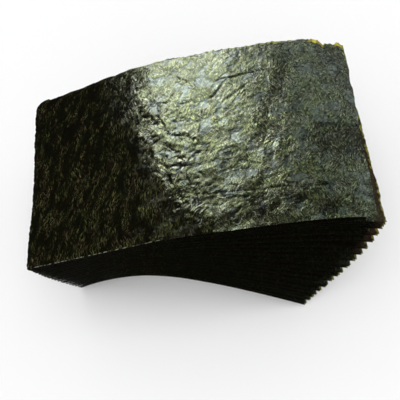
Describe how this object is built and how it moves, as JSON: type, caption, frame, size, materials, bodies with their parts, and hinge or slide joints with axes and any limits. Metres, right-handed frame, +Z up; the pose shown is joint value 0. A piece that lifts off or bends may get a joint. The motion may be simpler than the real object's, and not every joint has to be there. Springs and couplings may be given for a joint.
{
  "type": "nori sheet stack",
  "caption": "Stack of half-cut dried seaweed sheets for wrapping rice, arched over a pinch near one end, so that the layers turn a little and fan apart towards both ends.",
  "frame": {"origin": "on the surface it rests on, below the middle of the box that the whole stack fills", "axes": "+X along the sheets from the pinched end to the fanned end, +Y from the clean-cut near edge to the deckle far edge, +Z up"},
  "size_m": [0.1854, 0.1292, 0.0885],
  "materials": {
    "nori": "satin"
  },
  "bodies": {
    "root": {"sheet_01": "nori", "sheet_02": "nori", "sheet_03": "nori", "sheet_04": "nori", "sheet_05": "nori", "sheet_06": "nori", "sheet_07": "nori", "sheet_08": "nori", "sheet_09": "nori", "sheet_10": "nori", "sheet_11": "nori", "sheet_12": "nori", "sheet_13": "nori", "sheet_14": "nori", "sheet_15": "nori", "sheet_16": "nori", "sheet_17": "nori", "sheet_18": "nori", "sheet_19": "nori", "sheet_20": "nori", "sheet_21": "nori", "sheet_22": "nori", "sheet_23": "nori", "sheet_24": "nori", "sheet_25": "nori", "sheet_26": "nori", "sheet_27": "nori", "sheet_28": "nori", "sheet_29": "nori", "sheet_30": "nori", "sheet_31": "nori", "sheet_32": "nori", "sheet_33": "nori", "sheet_34": "nori", "sheet_35": "nori", "sheet_36": "nori", "sheet_37": "nori", "sheet_38": "nori", "sheet_39": "nori", "sheet_40": "nori"}
  },
  "joints": []
}
